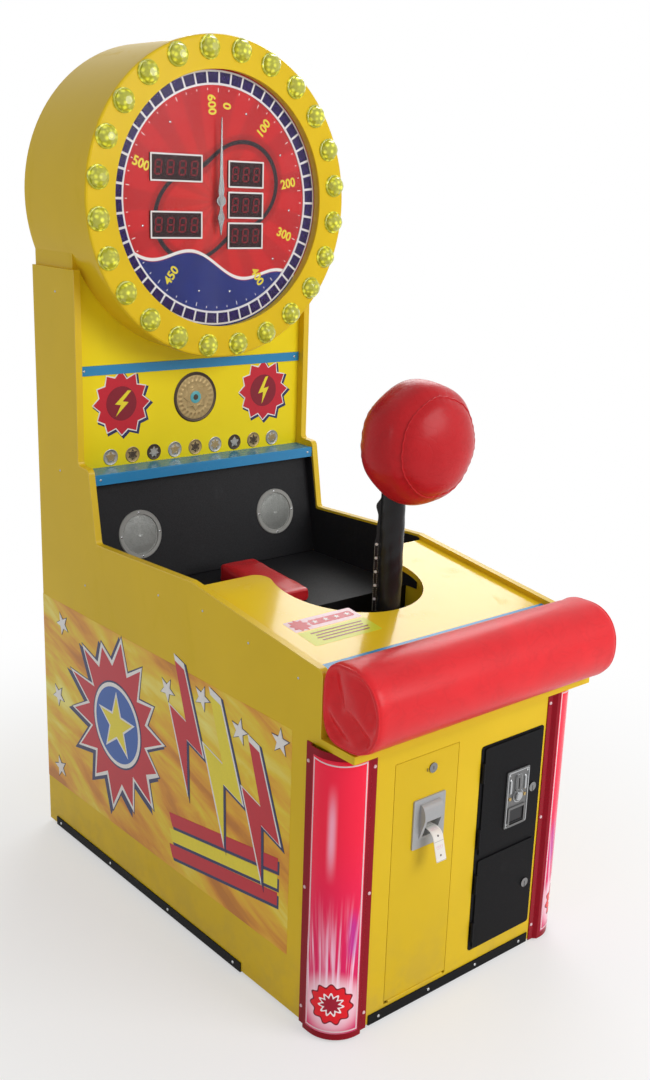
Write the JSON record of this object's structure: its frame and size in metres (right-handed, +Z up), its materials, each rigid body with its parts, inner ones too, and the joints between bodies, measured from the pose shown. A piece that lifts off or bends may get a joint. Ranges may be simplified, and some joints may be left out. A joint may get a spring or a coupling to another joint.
{
  "type": "boxing arcade machine",
  "caption": "Free-standing boxing arcade machine: a padded bag on a fold-back arm over a sloped deck, a round score dial in a ring of lamps, a coin unit and a ticket unit.",
  "frame": {"origin": "on the floor under the middle of the machine's bounding box", "axes": "+Z up, -Y towards the player, +X to the player's right"},
  "size_m": [0.8039, 1.419, 2.2],
  "materials": {
    "painted": "satin yellow lacquer",
    "board": "yellow lacquered board",
    "raw_board": "plain board",
    "black_board": "black textured paint",
    "black_metal": "black crackle powder coat",
    "moulding": "yellow edge moulding",
    "red_cover": "gloss red moulding",
    "lamp_tube": "white diffuser",
    "red_vinyl": "red vinyl",
    "black_vinyl": "black vinyl",
    "blue_trim": "satin blue",
    "steel": "brushed steel",
    "chrome": "bright plated",
    "lamp_dome": "faceted yellow lens",
    "dial": "printed acrylic",
    "white_plastic": "white plastic",
    "purple_lens": "purple lens",
    "clear": "clear acrylic",
    "black_plastic": "black plastic",
    "grey_plastic": "grey moulding",
    "red_plastic": "red plastic",
    "rubber": "black rubber",
    "paper": "ticket card"
  },
  "bodies": {
    "cabinet": {"side_panel_left": "board", "side_panel_right": "board", "edge_mouldings": "moulding", "base_board": "raw_board", "base_rails": "black_metal", "levelling_feet": "rubber", "caster_brackets": "steel", "back_panel": "board", "power_inlet": "black_plastic", "front_panel": "board", "corner_lamps": "lamp_tube", "corner_cover_left": "red_cover", "corner_cover_right": "red_cover", "front_ledge": "board", "front_cushion": "red_vinyl", "deck_plate": "board", "blue_trims": "blue_trim", "pit_liners": "black_board", "pit_tub": "black_board", "stop_pad": "red_vinyl", "speaker_board": "black_board", "speakers": "grey_plastic", "upper_front_panel": "board", "head_shell": "painted", "head_ring": "painted", "lamp_domes": "lamp_dome", "dial_plate": "dial", "score_ring": "white_plastic", "score_lenses": "purple_lens", "dial_glass": "clear", "needle_motor": "steel", "digit_displays": "black_plastic", "coin_frame": "black_metal", "cash_box": "steel", "pivot_frame": "black_metal", "pillow_blocks": "grey_plastic", "latch_solenoid": "steel", "electronics": "steel"},
    "arm": {"punch_arm": "steel", "arm_sleeve": "black_vinyl", "punch_bag": "red_vinyl", "pivot_shaft": "steel"},
    "score_needle": {"needle": "steel"},
    "upper_door": {"coin_door_upper": "black_metal", "coin_mech": "steel"},
    "return_button": {"coin_return_button": "red_plastic"},
    "return_flap": {"coin_return_flap": "steel"},
    "upper_door_lock": {"upper_lock": "chrome"},
    "lower_door": {"coin_door_lower": "black_metal"},
    "lower_door_lock": {"lower_lock": "chrome"},
    "ticket_unit": {"ticket_door": "board", "ticket_mouth": "grey_plastic", "ticket_dispenser": "steel", "ticket_strip": "paper"},
    "ticket_door_lock": {"ticket_lock": "chrome"},
    "service_door": {"rear_door": "board"},
    "service_door_lock": {"rear_lock": "chrome"},
    "rocker": {"power_switch": "red_plastic"},
    "wheel_left": {"caster_wheel_left": "rubber"},
    "wheel_right": {"caster_wheel_right": "rubber"}
  },
  "joints": [
    {"name": "arm_swing", "type": "hinge", "parent": "cabinet", "child": "arm", "pos_m": [0, -0.3125, 0.79], "axis": [-1, 0, 0], "range_deg": [0, 78]},
    {"name": "needle_turn", "type": "hinge", "parent": "cabinet", "child": "score_needle", "pos_m": [0, 0.3785, 1.798], "axis": [0, 1, 0], "range_deg": [0, 350]},
    {"name": "upper_door_turn", "type": "hinge", "parent": "cabinet", "child": "upper_door", "pos_m": [0.057, -0.603, 0.32628], "axis": [0, 0, -1], "range_deg": [0, 110]},
    {"name": "lower_door_turn", "type": "hinge", "parent": "cabinet", "child": "lower_door", "pos_m": [0.057, -0.603, 0.074], "axis": [0, 0, -1], "range_deg": [0, 110]},
    {"name": "ticket_door_turn", "type": "hinge", "parent": "cabinet", "child": "ticket_unit", "pos_m": [-0.124, -0.5965, 0.044], "axis": [1, 0, 0], "range_deg": [0, 85]},
    {"name": "service_door_turn", "type": "hinge", "parent": "cabinet", "child": "service_door", "pos_m": [-0.2245, 0.705, 0.24], "axis": [0, 0, 1], "range_deg": [0, 110]},
    {"name": "upper_lock_turn", "type": "hinge", "parent": "upper_door", "child": "upper_door_lock", "pos_m": [0.238, -0.602, 0.45775], "axis": [0, -1, 0], "range_deg": [0, 90]},
    {"name": "lower_lock_turn", "type": "hinge", "parent": "lower_door", "child": "lower_door_lock", "pos_m": [0.238, -0.602, 0.19314], "axis": [0, -1, 0], "range_deg": [0, 90]},
    {"name": "ticket_lock_turn", "type": "hinge", "parent": "ticket_unit", "child": "ticket_door_lock", "pos_m": [-0.107, -0.5965, 0.608], "axis": [0, 1, 0], "range_deg": [0, 90]},
    {"name": "service_lock_turn", "type": "hinge", "parent": "service_door", "child": "service_door_lock", "pos_m": [0.196, 0.7035, 0.62], "axis": [0, -1, 0], "range_deg": [0, 90]},
    {"name": "return_button_press", "type": "slide", "parent": "upper_door", "child": "return_button", "axis": [0, 1, 0], "range_m": [0, 0.006], "stiffness_N_per_m": 300, "springref_m": -0.002},
    {"name": "return_flap_swing", "type": "hinge", "parent": "upper_door", "child": "return_flap", "pos_m": [0.182, -0.604, 0.41656], "axis": [1, 0, 0], "range_deg": [0, 45]},
    {"name": "rocker_tilt", "type": "hinge", "parent": "cabinet", "child": "rocker", "pos_m": [0.285, 0.7025, 0.13], "axis": [-1, 0, 0], "range_deg": [0, 16]},
    {"name": "wheel_left_spin", "type": "hinge", "parent": "cabinet", "child": "wheel_left", "pos_m": [-0.23, 0.5335, 0.028], "axis": [1, 0, 0], "continuous": true},
    {"name": "wheel_right_spin", "type": "hinge", "parent": "cabinet", "child": "wheel_right", "pos_m": [0.23, 0.5335, 0.028], "axis": [1, 0, 0], "continuous": true}
  ]
}
